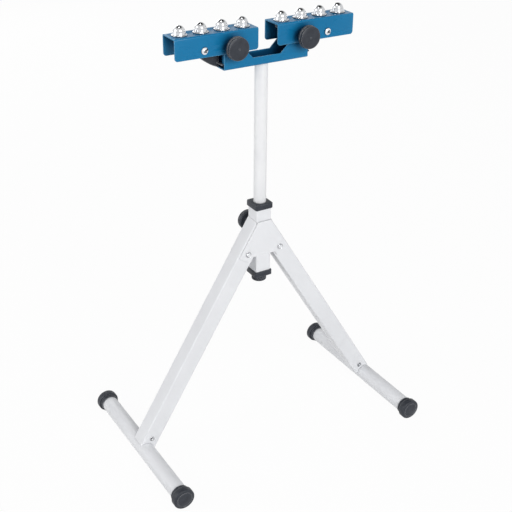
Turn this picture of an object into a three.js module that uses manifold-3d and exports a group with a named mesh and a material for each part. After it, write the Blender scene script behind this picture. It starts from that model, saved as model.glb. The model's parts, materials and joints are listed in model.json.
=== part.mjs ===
// A folding ball-roller stand: an A-frame with a sliding pole that carries a head of two tilting arms.
// Millimetres, +Z up. The origin is on the floor under the pole, +X along the head, the knobs on the -Y side.

import * as THREE from 'three';
import { mergeVertices } from 'three/addons/utils/BufferGeometryUtils.js';
import Module from 'manifold-3d';

const wasm = await Module();
wasm.setup();

// Clearances
const SEAT_GAP = 0.3;
const SLIDE_GAP = 0.4;
const CHANNEL_GAP = 0.5;

// How far a cutting shape passes the piece that it cuts, and a joined shape dips into its neighbour
const OVERRUN = 1;

// Facets around round pieces
const TUBE_SIDES = 24;
const TURNED_SIDES = 20;
const PIN_SIDES = 16;
const BALL_RINGS = 8;

// Feet: a round cross tube on each leg, with a flat-bottomed cap on each end
const FOOT_TUBE_RADIUS = 19;
const FOOT_TUBE_WALL = 2;
const FOOT_TUBE_LENGTH = 394;
const FOOT_AXIS_HEIGHT = 24.5;
const CAP_SLEEVE_RADIUS = 21.2;
const CAP_DISC_RADIUS = 25;
const CAP_SLEEVE_LENGTH = 9.5;
const CAP_DISC_LENGTH = 14.5;
const CAP_CROWN = 2.5;
const CAP_GROOVE_WIDTH = 2;
const CAP_GROOVE_DEPTH = 0.8;
const CAP_CHAMFER = 1.5;
const CAP_ROUND = 2.5;

// Legs: rectangular tubes on pivot pins between the two gusset plates
const PIVOT_X = 41.5;
const PIVOT_Z = 468;
const FOOT_X = 314;
const LEG_WIDTH = 40;
const LEG_WALL = 2;
const LEG_END_SETBACK = 9;
const FOLD_CUTS = 6;
const PIN_RADIUS = 5;
const PIN_HEAD_RADIUS = 7;
const PIN_HEAD_HEIGHT = 3.4;
const SPIGOT_WIDTH = 24;
const SPIGOT_LENGTH = 62;
const FOOT_BOLT_OFFSET = 31;
const FOOT_BOLT_RADIUS = 3;
const FOOT_BOLT_HEAD_RADIUS = 6;
const FOOT_BOLT_HEAD_HEIGHT = 2.6;

// Post: a square tube with a plastic collar on top and a plastic cap below
const POST_WIDTH = 38;
const POST_WALL = 2;
const POST_TOP = 569;
const POST_BOTTOM = 414;
const COLLAR_WIDTH = 44;
const COLLAR_HEIGHT = 13;
const COLLAR_CORNER = 4;
const COLLAR_SPIGOT = 20;

// Gusset plates on the post's front and rear
const GUSSET_THICKNESS = 3;
const GUSSET_TOP_HALF_WIDTH = 16;
const GUSSET_CROTCH_DROP = 9.5;
const GUSSET_INSET = 3.5;
const GUSSET_END = 17;
const GUSSET_CORNER = 5;

// Pole: a round tube that slides and turns in the post
const POLE_RADIUS = 14;
const POLE_WALL = 1.5;
const POLE_PLUG_RADIUS = 17;
const POLE_PLUG_THICKNESS = 7;
const POLE_NECK_RADIUS = 15.4;
const POLE_NECK_LENGTH = 7.5;
const POLE_PLUG_CHAMFER = 2;
const POLE_PLUG_SPIGOT = 20;
const POLE_INSERT_LENGTH = 30;

// Pole clamp on the post's rear
const CLAMP_DROP = 54;
const CLAMP_BOSS_RADIUS = 11;
const CLAMP_BOSS_LENGTH = 9;

// Knobs: one on the pole clamp and one on each arm
const KNOB_RADIUS = 24;
const KNOB_DISC = 15;
const KNOB_HUB_RADIUS = 13;
const KNOB_HUB = 16;
const KNOB_HUB_DRAFT = 1.5;
const KNOB_EDGE = 4;
const KNOB_CROWN = 1.6;
const KNOB_CHAMFER = 1;
const KNOB_SOCKET = 18;
const SCREW_RADIUS = 4;

// Head bracket: a channel, open at the top, with a tapered notch in both plates
const SHEET = 2.5;
const HEAD_BOTTOM = 900;
const BRACKET_LENGTH = 200;
const BRACKET_HEIGHT = 66;
const NOTCH_HEIGHT = 17.5;
const NOTCH_HALF_WIDTH = 33;
const TAB_WIDTH = 10;
const TAB_LIFT = 13;
const TAB_HEIGHT = 24;
const HEAD_BOLT_RADIUS = 5;
const HEAD_BOLT_HEAD_RADIUS = 9;
const HEAD_BOLT_HEAD_HEIGHT = 6.5;

// Arms: channels, open at the bottom, that straddle the bracket
const ARM_GAP = 46;
const ARM_LENGTH = 188;
const ARM_WIDTH = 51;
const ARM_HEIGHT = 44;
const ARM_LIFT = 35;
const ARM_BEND = 3.5;
const ARM_CORNER = 6;
const TILT_X = 84.5;
const TILT_HEIGHT = 15;
const BOLT_HEAD_RADIUS = 7.5;
const BOLT_HEAD_HEIGHT = 5.3;

// Stop block under each arm, on its own screw
const STOP_FRONT = 0;
const STOP_THICKNESS = 16;
const STOP_TOE_LENGTH = 4.5;
const STOP_TOE_LIFT = 8.5;
const STOP_TOE_HEIGHT = 3;
const STOP_SCREW_X = 146;
const STOP_SCREW_HEIGHT = 13.5;
const STOP_TIP_HEIGHT = 2;
const STOP_TOP_MARGIN = 2;
const STOP_SCREW_MARGIN = 12;
const STOP_ARC_BULGE = 7;
const STOP_ARC_STEPS = 10;
const STOP_SCREW_RADIUS = 3;
const STOP_SCREW_HEAD_RADIUS = 7.4;
const STOP_SCREW_HEAD_HEIGHT = 4;

// Ball units in the arms' tops
const BALLS_PER_ARM = 4;
const BALL_PITCH = 47;
const BALL_RADIUS = 11.9;
const BALL_RISE = 7.8;
const CUP_FLANGE_RADIUS = 15.8;
const CUP_FLANGE = 1.6;
const CUP_WALL = 1.1;
const CUP_LIP_RISE = 0.8;
const CUP_LIP_WALL = 0.5;
const CUP_FILLET = 0.6;
const CUP_DEPTH = 14;
const CUP_DRAIN_RADIUS = 3;
const BALL_GAP = 0.3;
const RACE_STEPS = 3;
const RACE_RIM = 1.5;

// Places worked out from the sizes above
const RIGHT = 1;
const LEFT = -1;
const legDrop = PIVOT_Z - FOOT_AXIS_HEIGHT;
const legAngle = Math.atan2(FOOT_X - PIVOT_X, legDrop);
const legReach = Math.hypot(FOOT_X - PIVOT_X, legDrop);
const postHalf = POST_WIDTH / 2;
const legDepth = POST_WIDTH;
const gussetFace = postHalf + SEAT_GAP + GUSSET_THICKNESS;
const collarTop = POST_TOP + SEAT_GAP + COLLAR_HEIGHT;
const capBottom = POST_BOTTOM - SEAT_GAP - COLLAR_HEIGHT;
const poleTop = HEAD_BOTTOM - SEAT_GAP;
const armHalf = ARM_WIDTH / 2;
const bracketHalf = armHalf - SHEET - CHANNEL_GAP;
const armBottom = HEAD_BOTTOM + ARM_LIFT;
const armTop = armBottom + ARM_HEIGHT;
const armInner = ARM_GAP / 2;
const armOuter = armInner + ARM_LENGTH;
const tiltZ = armBottom + TILT_HEIGHT;
const clampZ = POST_TOP - CLAMP_DROP;
const stopInner = BRACKET_LENGTH / 2 + CHANNEL_GAP;

const powderCoat = { color: 0xe2e3e6, roughness: 0.45, metalness: 0.0 };
const satinZinc = { color: 0xe8e8ec, roughness: 0.35, metalness: 0.3 };
const bluePaint = { color: 0x2678a8, roughness: 0.4, metalness: 0.0 };
const darkPlastic = { color: 0x3d3f45, roughness: 0.6, metalness: 0.0 };
const brightZinc = { color: 0xc9cbd0, roughness: 0.3, metalness: 0.9 };
const chrome = { color: 0xe6e7ea, roughness: 0.08, metalness: 1.0 };

const stand = new THREE.Group();

// Position-only geometry with shared vertices and no collapsed triangles
function closed(geometry) {
  const bare = geometry.clone();
  bare.deleteAttribute('normal');
  bare.deleteAttribute('uv');
  const merged = mergeVertices(bare, 1e-4);
  const index = merged.getIndex().array;
  const kept = [];
  for (let i = 0; i < index.length; i += 3) {
    const [a, b, c] = [index[i], index[i + 1], index[i + 2]];
    if (a !== b && b !== c && c !== a) {
      kept.push(a, b, c);
    }
  }
  merged.setIndex(kept);
  return merged;
}

function toSolid(geometry) {
  const bare = closed(geometry);
  return new wasm.Manifold(new wasm.Mesh({
    numProp: 3,
    vertProperties: new Float32Array(bare.getAttribute('position').array),
    triVerts: new Uint32Array(bare.getIndex().array),
  }));
}

function toGeometry(solid) {
  const mesh = solid.getMesh();
  const geometry = new THREE.BufferGeometry();
  geometry.setAttribute('position', new THREE.BufferAttribute(mesh.vertProperties, 3));
  geometry.setIndex(new THREE.BufferAttribute(mesh.triVerts, 1));
  return geometry;
}

function cut(base, ...tools) {
  const result = tools.reduce((solid, tool) => solid.subtract(toSolid(tool)), toSolid(base));
  return toGeometry(result);
}

function join(base, ...others) {
  const result = others.reduce((solid, other) => solid.add(toSolid(other)), toSolid(base));
  return toGeometry(result);
}

function overlap(first, second) {
  return toGeometry(toSolid(first).intersect(toSolid(second)));
}

function addPiece(name, geometry, finish) {
  const shape = closed(geometry);
  shape.computeVertexNormals();
  const mesh = new THREE.Mesh(shape, new THREE.MeshStandardMaterial(finish));
  mesh.name = name;
  stand.add(mesh);
  return mesh;
}

function inOrder(first, second) {
  return [Math.min(first, second), Math.max(first, second)];
}

function box(low, high) {
  const size = high.map((value, axis) => value - low[axis]);
  const centre = high.map((value, axis) => (value + low[axis]) / 2);
  return new THREE.BoxGeometry(...size).translate(...centre);
}

function rodAlongY(radius, lowY, highY, x, z, sides = PIN_SIDES) {
  const rod = new THREE.CylinderGeometry(radius, radius, highY - lowY, sides);
  return rod.translate(x, (lowY + highY) / 2, z);
}

function rodAlongZ(radius, lowZ, highZ, x = 0, y = 0, sides = TUBE_SIDES) {
  const rod = new THREE.CylinderGeometry(radius, radius, highZ - lowZ, sides);
  return rod.rotateX(Math.PI / 2).translate(x, y, (lowZ + highZ) / 2);
}

// A solid of revolution about Y from [radius, y] points that run upwards along the outside
function turnedAboutY(points, sides) {
  return new THREE.LatheGeometry(points.map(([radius, y]) => new THREE.Vector2(radius, y)), sides);
}

function turnedAboutZ(points, sides) {
  return turnedAboutY(points, sides).rotateX(Math.PI / 2);
}

function shapeOf(points) {
  return new THREE.Shape(points.map(([first, second]) => new THREE.Vector2(first, second)));
}

// A flat piece drawn in X and Z, thick along Y
function plateAcrossY(shape, lowY, highY, curveSegments = 6) {
  const plate = new THREE.ExtrudeGeometry(shape, { depth: highY - lowY, bevelEnabled: false, curveSegments });
  const turn = new THREE.Matrix4().makeBasis(
    new THREE.Vector3(1, 0, 0), new THREE.Vector3(0, 0, 1), new THREE.Vector3(0, -1, 0));
  return plate.applyMatrix4(turn).translate(0, highY, 0);
}

// A section drawn in Y and Z, run along X
function sectionAlongX(shape, lowX, highX, curveSegments = 4) {
  const bar = new THREE.ExtrudeGeometry(shape, { depth: highX - lowX, bevelEnabled: false, curveSegments });
  const turn = new THREE.Matrix4().makeBasis(
    new THREE.Vector3(0, 1, 0), new THREE.Vector3(0, 0, 1), new THREE.Vector3(1, 0, 0));
  return bar.applyMatrix4(turn).translate(lowX, 0, 0);
}

// An outline with every corner rounded by its own radius
function roundedShape(corners) {
  const shape = new THREE.Shape();
  const count = corners.length;
  corners.forEach(([x, y, radius], i) => {
    const here = new THREE.Vector2(x, y);
    const before = new THREE.Vector2(...corners[(i + count - 1) % count].slice(0, 2)).sub(here).normalize();
    const after = new THREE.Vector2(...corners[(i + 1) % count].slice(0, 2)).sub(here).normalize();
    const reach = radius / Math.tan(before.angleTo(after) / 2);
    const start = here.clone().addScaledVector(before, reach);
    const end = here.clone().addScaledVector(after, reach);
    if (i === 0) {
      shape.moveTo(start.x, start.y);
    } else {
      shape.lineTo(start.x, start.y);
    }
    if (radius > 0) {
      shape.quadraticCurveTo(here.x, here.y, end.x, end.y);
    }
  });
  shape.closePath();
  return shape;
}

// A rod with a domed head on each end, turned about Y, between two outer faces
function doubleHeaded(radius, headRadius, headHeight, faceY, sides = PIN_SIDES) {
  const seat = faceY + SEAT_GAP;
  const dome = [[headRadius, 0], [headRadius * 0.92, 0.45], [headRadius * 0.6, 0.85], [0, 1]];
  const upper = dome.map(([r, share]) => [r, seat + share * headHeight]);
  const lower = upper.map(([r, y]) => [r, -y]).reverse();
  return turnedAboutY([...lower, [radius, -seat], [radius, seat], ...upper], sides);
}

// Post with its collar, cap, gusset plates and pivot pins
function buildPost() {
  const inner = postHalf - POST_WALL;
  const tube = cut(
    box([-postHalf, -postHalf, POST_BOTTOM], [postHalf, postHalf, POST_TOP]),
    box([-inner, -inner, POST_BOTTOM - OVERRUN], [inner, inner, POST_TOP + OVERRUN]),
    rodAlongY(SCREW_RADIUS + SEAT_GAP, 0, postHalf + OVERRUN, 0, clampZ));
  addPiece('post_tube', tube, powderCoat);

  const bore = POLE_RADIUS + SLIDE_GAP;
  const spigot = inner - SEAT_GAP;
  const half = COLLAR_WIDTH / 2;
  const outline = roundedShape([
    [-half, -half, COLLAR_CORNER], [half, -half, COLLAR_CORNER],
    [half, half, COLLAR_CORNER], [-half, half, COLLAR_CORNER]]);
  const flange = () => new THREE.ExtrudeGeometry(
    outline, { depth: COLLAR_HEIGHT, bevelEnabled: false, curveSegments: 4 });
  const collar = cut(
    join(flange().translate(0, 0, POST_TOP + SEAT_GAP),
      box([-spigot, -spigot, POST_TOP - COLLAR_SPIGOT], [spigot, spigot, POST_TOP + OVERRUN])),
    rodAlongZ(bore, POST_TOP - COLLAR_SPIGOT - OVERRUN, collarTop + OVERRUN));
  addPiece('post_top_collar', collar, darkPlastic);
  const cap = cut(
    join(flange().translate(0, 0, capBottom),
      box([-spigot, -spigot, POST_BOTTOM - OVERRUN], [spigot, spigot, POST_BOTTOM + COLLAR_SPIGOT])),
    rodAlongZ(bore, capBottom - OVERRUN, POST_BOTTOM + COLLAR_SPIGOT + OVERRUN));
  addPiece('post_bottom_cap', cap, darkPlastic);

  const front = plateAcrossY(gussetShape(), -gussetFace, -postHalf - SEAT_GAP);
  const rear = plateAcrossY(gussetShape(), postHalf + SEAT_GAP, gussetFace);
  const pinHoles = [LEFT, RIGHT].map((side) => rodAlongY(
    PIN_RADIUS + SEAT_GAP, -gussetFace - OVERRUN, gussetFace + OVERRUN, side * PIVOT_X, PIVOT_Z));
  const bossHole = rodAlongY(CLAMP_BOSS_RADIUS + SEAT_GAP, 0, gussetFace + OVERRUN, 0, clampZ);
  addPiece('front_gusset_plate', cut(front, ...pinHoles), powderCoat);
  addPiece('rear_gusset_plate', cut(rear, ...pinHoles, bossHole), powderCoat);
  for (const [word, side] of [['left', LEFT], ['right', RIGHT]]) {
    const pin = doubleHeaded(PIN_RADIUS, PIN_HEAD_RADIUS, PIN_HEAD_HEIGHT, gussetFace);
    addPiece(`${word}_leg_pivot_pin`, pin.translate(side * PIVOT_X, 0, PIVOT_Z), brightZinc);
  }
}

// Gusset outline: a lobe along each leg, with a straight top and a straight crotch over the post
function gussetShape() {
  const along = new THREE.Vector2(Math.sin(legAngle), -Math.cos(legAngle));
  const across = new THREE.Vector2(Math.cos(legAngle), Math.sin(legAngle));
  const pivot = new THREE.Vector2(PIVOT_X, PIVOT_Z);
  const edge = LEG_WIDTH / 2 - GUSSET_INSET;
  const outerEnd = pivot.clone().addScaledVector(along, GUSSET_END).addScaledVector(across, edge);
  const innerEnd = pivot.clone().addScaledVector(along, GUSSET_END).addScaledVector(across, -edge);
  const topZ = outerEnd.y + (outerEnd.x - GUSSET_TOP_HALF_WIDTH) / Math.tan(legAngle);
  const crotchZ = PIVOT_Z - GUSSET_CROTCH_DROP;
  const crotchX = innerEnd.x - (crotchZ - innerEnd.y) * Math.tan(legAngle);
  const right = [[GUSSET_TOP_HALF_WIDTH, topZ, 0], [outerEnd.x, outerEnd.y, GUSSET_CORNER],
    [innerEnd.x, innerEnd.y, GUSSET_CORNER], [crotchX, crotchZ, 0]];
  const left = right.map(([x, z, radius]) => [-x, z, radius]).reverse();
  return roundedShape([...right, ...left]);
}

// Pole with its lower plug and its threaded upper insert
function buildPole() {
  const bore = POLE_RADIUS - POLE_WALL;
  const neckTop = capBottom - SEAT_GAP;
  const tubeBottom = capBottom;
  const tube = cut(
    rodAlongZ(POLE_RADIUS, tubeBottom, poleTop), rodAlongZ(bore, tubeBottom - OVERRUN, poleTop + OVERRUN));
  addPiece('pole_tube', tube, satinZinc);

  const neckBottom = neckTop - POLE_NECK_LENGTH;
  const plugBottom = neckBottom - POLE_PLUG_THICKNESS;
  const plug = turnedAboutZ([
    [0, plugBottom], [POLE_PLUG_RADIUS - POLE_PLUG_CHAMFER, plugBottom],
    [POLE_PLUG_RADIUS, plugBottom + POLE_PLUG_CHAMFER], [POLE_PLUG_RADIUS, neckBottom],
    [POLE_NECK_RADIUS, neckBottom], [POLE_NECK_RADIUS, neckTop], [bore - SEAT_GAP, neckTop],
    [bore - SEAT_GAP, neckTop + POLE_PLUG_SPIGOT], [0, neckTop + POLE_PLUG_SPIGOT]], TURNED_SIDES);
  addPiece('pole_end_plug', plug, darkPlastic);

  const insertFoot = poleTop - POLE_INSERT_LENGTH;
  const insert = cut(
    rodAlongZ(bore - SEAT_GAP, insertFoot, poleTop),
    rodAlongZ(HEAD_BOLT_RADIUS + SEAT_GAP, insertFoot - OVERRUN, poleTop + OVERRUN, 0, 0, PIN_SIDES));
  addPiece('pole_top_insert', insert, brightZinc);
}

// A knob whose hub stands on the plane y = 0 and whose face looks along -Y
function knobGeometry() {
  const face = KNOB_HUB + KNOB_DISC;
  const socket = SCREW_RADIUS + SEAT_GAP;
  const profile = [
    [socket, 0], [socket, KNOB_SOCKET], [0, KNOB_SOCKET], [0, face],
    [KNOB_RADIUS / 2, face - KNOB_CROWN / 2], [KNOB_RADIUS - KNOB_EDGE, face - KNOB_CROWN],
    [KNOB_RADIUS - KNOB_CHAMFER, face - KNOB_EDGE], [KNOB_RADIUS, face - KNOB_EDGE - 2 * KNOB_CHAMFER],
    [KNOB_RADIUS - KNOB_CHAMFER, KNOB_HUB + KNOB_CHAMFER], [KNOB_RADIUS - 2 * KNOB_CHAMFER, KNOB_HUB],
    [KNOB_HUB_RADIUS, KNOB_HUB], [KNOB_HUB_RADIUS - KNOB_HUB_DRAFT, 0], [socket, 0]];
  return turnedAboutY(profile.reverse(), TURNED_SIDES).rotateX(Math.PI);
}

// Clamp on the post's rear: a boss, its screw and its knob
function buildPoleClamp() {
  const bossFoot = postHalf + SEAT_GAP;
  const bossEnd = bossFoot + CLAMP_BOSS_LENGTH;
  const boss = cut(
    rodAlongY(CLAMP_BOSS_RADIUS, bossFoot, bossEnd, 0, clampZ),
    rodAlongY(SCREW_RADIUS + SEAT_GAP, bossFoot - OVERRUN, bossEnd + OVERRUN, 0, clampZ));
  addPiece('clamp_boss', boss, powderCoat);
  const knobFoot = bossEnd + SEAT_GAP;
  const screw = rodAlongY(SCREW_RADIUS, POLE_RADIUS + SEAT_GAP, knobFoot + KNOB_SOCKET - SEAT_GAP, 0, clampZ);
  addPiece('clamp_screw', screw, brightZinc);
  addPiece('clamp_knob', knobGeometry().rotateX(Math.PI).translate(0, knobFoot, clampZ), darkPlastic);
}

// One leg: mitred on the post, coped on its foot tube
function buildLeg(word, side) {
  const turn = -side * legAngle;
  const place = (geometry) => geometry.rotateY(turn).translate(side * PIVOT_X, 0, PIVOT_Z);
  const half = LEG_WIDTH / 2;
  const deep = legDepth / 2;
  const lowest = LEG_END_SETBACK - legReach;
  const highest = LEG_WIDTH / Math.tan(legAngle) + PIVOT_X / Math.sin(legAngle);
  const outside = box([-half, -deep, lowest], [half, deep, highest]);
  const [hollow, hollowDeep] = [half - LEG_WALL, deep - LEG_WALL];
  const inside = box([-hollow, -hollowDeep, lowest - OVERRUN], [hollow, hollowDeep, highest + OVERRUN]);
  const footX = side * FOOT_X;
  const footRod = (radius, reachY) => rodAlongY(radius, -reachY, reachY, footX, FOOT_AXIS_HEIGHT, TUBE_SIDES);
  const reach = [highest * 2, legDepth, highest * 2];
  const postSide = postHalf + SEAT_GAP;
  const clearances = Array.from({ length: FOLD_CUTS + 1 }, (unused, step) => {
    const fold = side * legAngle * (step / FOLD_CUTS);
    const wall = box([-reach[0], -reach[1], -reach[2]], [postSide - PIVOT_X, reach[1], reach[2]]);
    if (side === LEFT) {
      wall.rotateZ(Math.PI);
    }
    return wall.rotateY(-fold).translate(side * PIVOT_X, 0, PIVOT_Z);
  });
  const boltZ = FOOT_BOLT_OFFSET - legReach;
  const tube = cut(
    place(outside), place(inside), ...clearances,
    footRod(FOOT_TUBE_RADIUS + SEAT_GAP, legDepth),
    place(rodAlongY(PIN_RADIUS + SEAT_GAP, -legDepth, legDepth, 0, 0)),
    place(rodAlongY(FOOT_BOLT_RADIUS + SEAT_GAP, -legDepth, legDepth, 0, boltZ)));
  addPiece(`${word}_leg_tube`, tube, powderCoat);

  const bolt = doubleHeaded(FOOT_BOLT_RADIUS, FOOT_BOLT_HEAD_RADIUS, FOOT_BOLT_HEAD_HEIGHT, deep);
  addPiece(`${word}_foot_bolt`, place(bolt.translate(0, 0, boltZ)), brightZinc);

  const footHalf = FOOT_TUBE_LENGTH / 2;
  const spigotDeep = deep - LEG_WALL - SEAT_GAP;
  const spigot = place(box(
    [-SPIGOT_WIDTH / 2, -spigotDeep, -legReach], [SPIGOT_WIDTH / 2, spigotDeep, SPIGOT_LENGTH - legReach]));
  const foot = cut(
    join(footRod(FOOT_TUBE_RADIUS, footHalf), spigot),
    footRod(FOOT_TUBE_RADIUS - FOOT_TUBE_WALL, footHalf + OVERRUN),
    place(rodAlongY(FOOT_BOLT_RADIUS + SEAT_GAP, -legDepth, legDepth, 0, boltZ)));
  addPiece(`${word}_foot_tube`, foot, powderCoat);
  const frontCap = footCap().rotateZ(Math.PI).translate(footX, -footHalf, FOOT_AXIS_HEIGHT);
  addPiece(`${word}_front_foot_cap`, frontCap, darkPlastic);
  addPiece(`${word}_rear_foot_cap`, footCap().translate(footX, footHalf, FOOT_AXIS_HEIGHT), darkPlastic);
}

// A cap over a tube end at y = 0: a sleeve, a groove and a larger crowned disc, cut flat where it stands
function footCap() {
  const bore = FOOT_TUBE_RADIUS + SEAT_GAP;
  const floor = SEAT_GAP;
  const discEnd = floor + CAP_DISC_LENGTH;
  const grooveRadius = CAP_SLEEVE_RADIUS - CAP_GROOVE_DEPTH;
  const cap = turnedAboutY([
    [bore, -CAP_SLEEVE_LENGTH], [CAP_SLEEVE_RADIUS, -CAP_SLEEVE_LENGTH],
    [CAP_SLEEVE_RADIUS, -CAP_GROOVE_WIDTH], [grooveRadius, -CAP_GROOVE_WIDTH], [grooveRadius, floor],
    [CAP_DISC_RADIUS - CAP_CHAMFER, floor],
    [CAP_DISC_RADIUS, floor + CAP_CHAMFER], [CAP_DISC_RADIUS, discEnd - CAP_ROUND],
    [CAP_DISC_RADIUS - CAP_ROUND, discEnd], [CAP_DISC_RADIUS / 2, discEnd + CAP_CROWN * 3 / 4],
    [0, discEnd + CAP_CROWN],
    [0, floor], [bore, floor], [bore, -CAP_SLEEVE_LENGTH]], TUBE_SIDES);
  const reach = 2 * CAP_DISC_RADIUS;
  return cut(cap, box([-reach, -reach, -reach], [reach, reach, -FOOT_AXIS_HEIGHT]));
}

// Head bracket with the bolt that holds it on the pole
function buildBracket() {
  const half = BRACKET_LENGTH / 2;
  const top = HEAD_BOTTOM + BRACKET_HEIGHT;
  const notchZ = HEAD_BOTTOM + NOTCH_HEIGHT;
  const notchTop = NOTCH_HALF_WIDTH + top - notchZ;
  const section = shapeOf([
    [-bracketHalf, HEAD_BOTTOM], [bracketHalf, HEAD_BOTTOM], [bracketHalf, top], [bracketHalf - SHEET, top],
    [bracketHalf - SHEET, HEAD_BOTTOM + SHEET], [SHEET - bracketHalf, HEAD_BOTTOM + SHEET],
    [SHEET - bracketHalf, top], [-bracketHalf, top]]);
  const outline = roundedShape([
    [-half, HEAD_BOTTOM, 0], [half, HEAD_BOTTOM, 0], [half, top, ARM_CORNER], [notchTop, top, ARM_CORNER],
    [NOTCH_HALF_WIDTH, notchZ, 0], [-NOTCH_HALF_WIDTH, notchZ, 0], [-notchTop, top, ARM_CORNER],
    [-half, top, ARM_CORNER]]);
  const blank = overlap(sectionAlongX(section, -half, half), plateAcrossY(outline, -ARM_WIDTH, ARM_WIDTH));
  const pivots = [LEFT, RIGHT].map((side) => rodAlongY(
    SCREW_RADIUS + SEAT_GAP, -ARM_WIDTH, ARM_WIDTH, side * TILT_X, tiltZ));
  const floorTop = HEAD_BOTTOM + SHEET;
  const boltHole = rodAlongZ(
    HEAD_BOLT_RADIUS + SEAT_GAP, HEAD_BOTTOM - OVERRUN, floorTop + OVERRUN, 0, 0, PIN_SIDES);
  addPiece('head_bracket', join(cut(blank, ...pivots, boltHole), ...bracketTabs()), bluePaint);

  const headFoot = floorTop + SEAT_GAP;
  const bolt = join(
    rodAlongZ(HEAD_BOLT_RADIUS, poleTop - POLE_INSERT_LENGTH, headFoot + OVERRUN, 0, 0, PIN_SIDES),
    rodAlongZ(HEAD_BOLT_HEAD_RADIUS, headFoot, headFoot + HEAD_BOLT_HEAD_HEIGHT, 0, 0, 6));
  addPiece('head_bolt', bolt, brightZinc);
}

// Tabs folded in from both plates at each end of the bracket, which face the stop blocks
function bracketTabs() {
  const end = BRACKET_LENGTH / 2;
  const low = HEAD_BOTTOM + TAB_LIFT;
  return [LEFT, RIGHT].flatMap((side) => [LEFT, RIGHT].map((plate) => {
    const [lowX, highX] = inOrder(side * (end - SHEET), side * end);
    const [lowY, highY] = inOrder(plate * (bracketHalf - TAB_WIDTH), plate * (bracketHalf - SHEET / 2));
    return box([lowX, lowY, low], [highX, highY, low + TAB_HEIGHT]);
  }));
}

// One arm with its knob, clamp bolt and stop block
function buildArm(word, side) {
  const bottom = armBottom;
  const inner = armHalf - SHEET;
  const section = roundedShape([
    [-armHalf, bottom, 0], [-inner, bottom, 0], [-inner, armTop - SHEET, ARM_BEND - SHEET],
    [inner, armTop - SHEET, ARM_BEND - SHEET], [inner, bottom, 0], [armHalf, bottom, 0],
    [armHalf, armTop, ARM_BEND], [-armHalf, armTop, ARM_BEND]]);
  const [lowX, highX] = inOrder(side * armInner, side * armOuter);
  const outline = roundedShape([
    [lowX, bottom, ARM_CORNER], [highX, bottom, ARM_CORNER],
    [highX, armTop + OVERRUN, 0], [lowX, armTop + OVERRUN, 0]]);
  const blank = overlap(sectionAlongX(section, lowX, highX), plateAcrossY(outline, -ARM_WIDTH, ARM_WIDTH));
  const cupHole = BALL_RADIUS + BALL_GAP + CUP_WALL + SEAT_GAP;
  const cupHoles = ballPlaces(side).map((x) => rodAlongZ(
    cupHole, armTop - SHEET - OVERRUN, armTop + OVERRUN, x, 0, PIN_SIDES));
  const pivotHole = rodAlongY(SCREW_RADIUS + SEAT_GAP, -ARM_WIDTH, ARM_WIDTH, side * TILT_X, tiltZ);
  const stopZ = bottom + STOP_SCREW_HEIGHT;
  const stopHole = rodAlongY(STOP_SCREW_RADIUS + SEAT_GAP, -ARM_WIDTH, ARM_WIDTH, side * STOP_SCREW_X, stopZ);
  addPiece(`${word}_arm_channel`, cut(blank, ...cupHoles, pivotHole, stopHole), bluePaint);

  const plateFace = armHalf + SEAT_GAP;
  const bolt = join(
    rodAlongY(SCREW_RADIUS, SEAT_GAP - plateFace - KNOB_SOCKET, plateFace + OVERRUN, side * TILT_X, tiltZ),
    rodAlongY(BOLT_HEAD_RADIUS, plateFace, plateFace + BOLT_HEAD_HEIGHT, side * TILT_X, tiltZ, 6));
  addPiece(`${word}_clamp_bolt`, bolt, brightZinc);
  addPiece(`${word}_knob`, knobGeometry().translate(side * TILT_X, -plateFace, tiltZ), darkPlastic);

  const stopRear = STOP_FRONT + STOP_THICKNESS;
  const slab = plateAcrossY(stopShape(side, stopZ), STOP_FRONT, stopRear, STOP_ARC_STEPS);
  addPiece(`${word}_stop_block`, cut(join(slab, stopToe(side)), stopHole), darkPlastic);
  const screw = doubleHeaded(STOP_SCREW_RADIUS, STOP_SCREW_HEAD_RADIUS, STOP_SCREW_HEAD_HEIGHT, armHalf);
  addPiece(`${word}_stop_screw`, screw.translate(side * STOP_SCREW_X, 0, stopZ), brightZinc);
}

// Stop block outline: upright against the bracket's end, with a bowed lower edge
function stopShape(side, screwZ) {
  const innerX = stopInner;
  const outerX = STOP_SCREW_X + STOP_SCREW_MARGIN;
  const topZ = armTop - CUP_DEPTH - STOP_TOP_MARGIN;
  const tipZ = HEAD_BOTTOM + STOP_TIP_HEIGHT;
  const middle = new THREE.Vector2((innerX + outerX) / 2, (tipZ + screwZ) / 2);
  const outward = new THREE.Vector2(screwZ - tipZ, innerX - outerX).normalize();
  middle.addScaledVector(outward, 2 * STOP_ARC_BULGE);
  const shape = new THREE.Shape();
  shape.moveTo(side * innerX, topZ);
  shape.lineTo(side * innerX, tipZ);
  shape.quadraticCurveTo(side * middle.x, middle.y, side * outerX, screwZ);
  shape.lineTo(side * outerX, topZ);
  shape.closePath();
  return shape;
}

// A thin toe on the stop block that reaches forward across the bracket's open end
function stopToe(side) {
  const front = SHEET + CHANNEL_GAP - bracketHalf;
  const low = HEAD_BOTTOM + STOP_TIP_HEIGHT + STOP_TOE_LIFT;
  const [lowX, highX] = inOrder(side * stopInner, side * (stopInner + STOP_TOE_LENGTH));
  return box([lowX, front, low], [highX, STOP_FRONT + STOP_TOE_LENGTH, low + STOP_TOE_HEIGHT]);
}

function ballPlaces(side) {
  const centre = armInner + ARM_LENGTH / 2;
  const first = centre - BALL_PITCH * (BALLS_PER_ARM - 1) / 2;
  return Array.from({ length: BALLS_PER_ARM }, (unused, i) => side * (first + i * BALL_PITCH));
}

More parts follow.
